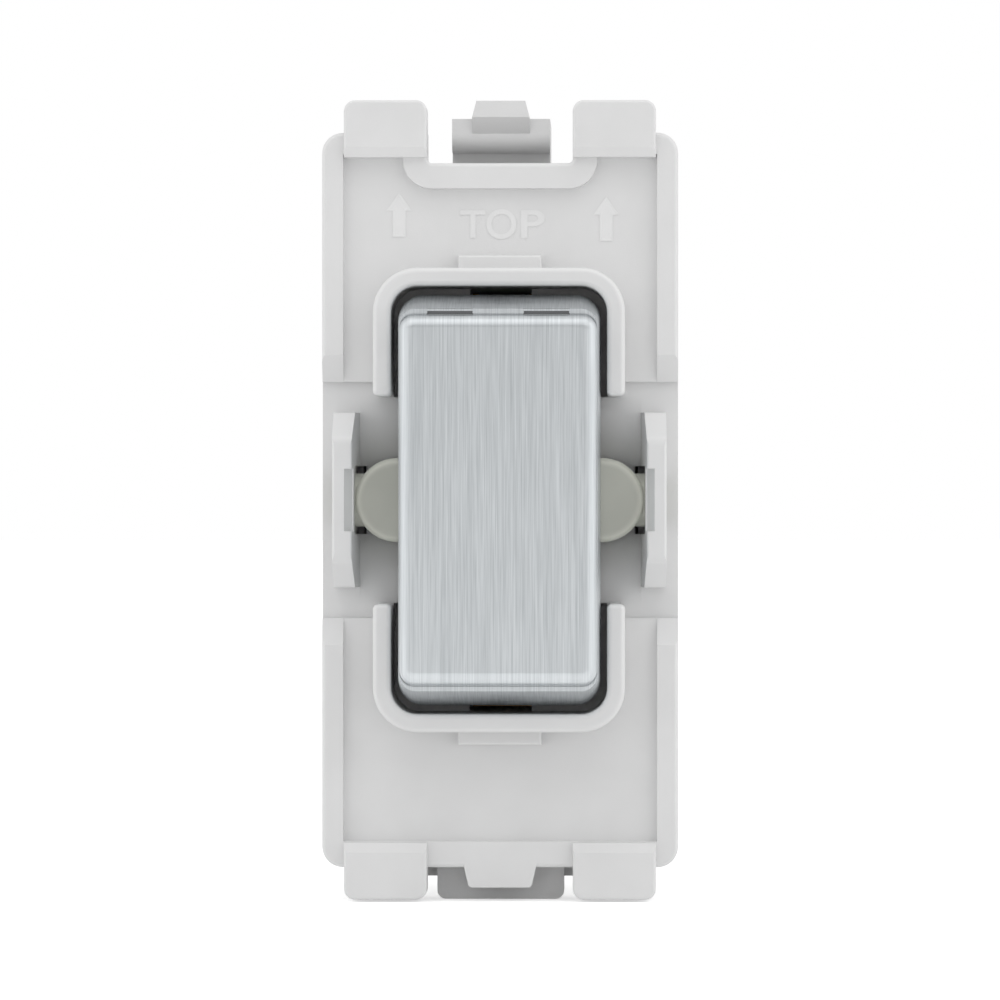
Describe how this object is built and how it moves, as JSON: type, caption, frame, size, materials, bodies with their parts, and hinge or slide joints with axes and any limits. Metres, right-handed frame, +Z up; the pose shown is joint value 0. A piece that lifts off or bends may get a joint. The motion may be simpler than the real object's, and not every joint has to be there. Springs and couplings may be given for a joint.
{
  "type": "retractive switch",
  "caption": "Spring-centred rocker switch module that snaps into a wiring grid and makes one of two contacts while an end is pressed.",
  "frame": {"origin": "middle of the plane in which the backs of the four lugs seat on the front of the grid's rails", "axes": "+X to the user's right, +Y from the user into the wall, +Z up, as installed"},
  "size_m": [0.024, 0.0328, 0.0541],
  "materials": {
    "front_moulding": "moulded, satin",
    "rear_moulding": "moulded, satin",
    "brushed_cap": "brushed along the rocker",
    "nylon_dolly": "moulded nylon, satin",
    "nylon_plunger": "moulded nylon, satin",
    "spring_wire": "drawn wire",
    "copper_strip": "blanked strip",
    "silver": "pressed contact face",
    "brass_strip": "blanked strip",
    "brass_block": "sawn and drilled bar",
    "screw_steel": "plated"
  },
  "bodies": {
    "module": {"front_frame": "front_moulding", "rear_housing": "rear_moulding", "common_bracket": "brass_strip", "live_strap_1": "brass_strip", "live_strap_2": "brass_strip", "fixed_tip_upper": "silver", "fixed_tip_lower": "silver", "common_terminal": "brass_block", "live_terminal_1": "brass_block", "live_terminal_2": "brass_block", "return_spring_upper": "spring_wire", "return_spring_lower": "spring_wire"},
    "rocker": {"rocker_cap": "brushed_cap", "rocker_dolly": "nylon_dolly", "plunger_spring": "spring_wire"},
    "plunger": {"plunger": "nylon_plunger"},
    "contact_blade": {"moving_contact": "copper_strip", "moving_tip_upper": "silver", "moving_tip_lower": "silver"},
    "common_screw": {"common_screw": "screw_steel"},
    "live_screw_1": {"live_screw_1": "screw_steel"},
    "live_screw_2": {"live_screw_2": "screw_steel"}
  },
  "joints": [
    {"name": "rocker_hinge", "type": "hinge", "parent": "module", "child": "rocker", "pos_m": [0, -0.0016, 0], "axis": [1, 0, 0], "range_deg": [-7, 7], "stiffness_Nm_per_rad": 0.15, "deforming": ["return_spring_upper", "return_spring_lower"]},
    {"name": "plunger_slide", "type": "slide", "parent": "rocker", "child": "plunger", "axis": [0, -1, 0], "range_m": [0, 0.0005], "stiffness_N_per_m": 800, "springref_m": -0.002, "deforming": ["plunger_spring"]},
    {"name": "contact_rock", "type": "hinge", "parent": "module", "child": "contact_blade", "pos_m": [0, 0.01001, 0], "axis": [1, 0, 0], "range_deg": [-11.2, 11.2]},
    {"name": "live_screw_1_travel", "type": "slide", "parent": "module", "child": "live_screw_1", "axis": [0, -1, 0], "range_m": [0, 0.0024]},
    {"name": "live_screw_2_travel", "type": "slide", "parent": "module", "child": "live_screw_2", "axis": [0, -1, 0], "range_m": [0, 0.0024]},
    {"name": "common_screw_travel", "type": "slide", "parent": "module", "child": "common_screw", "axis": [0, -1, 0], "range_m": [0, 0.0024]}
  ],
  "couplings": [
    {"joint": "contact_rock", "follows": "rocker_hinge", "ratio": -1.6}
  ]
}
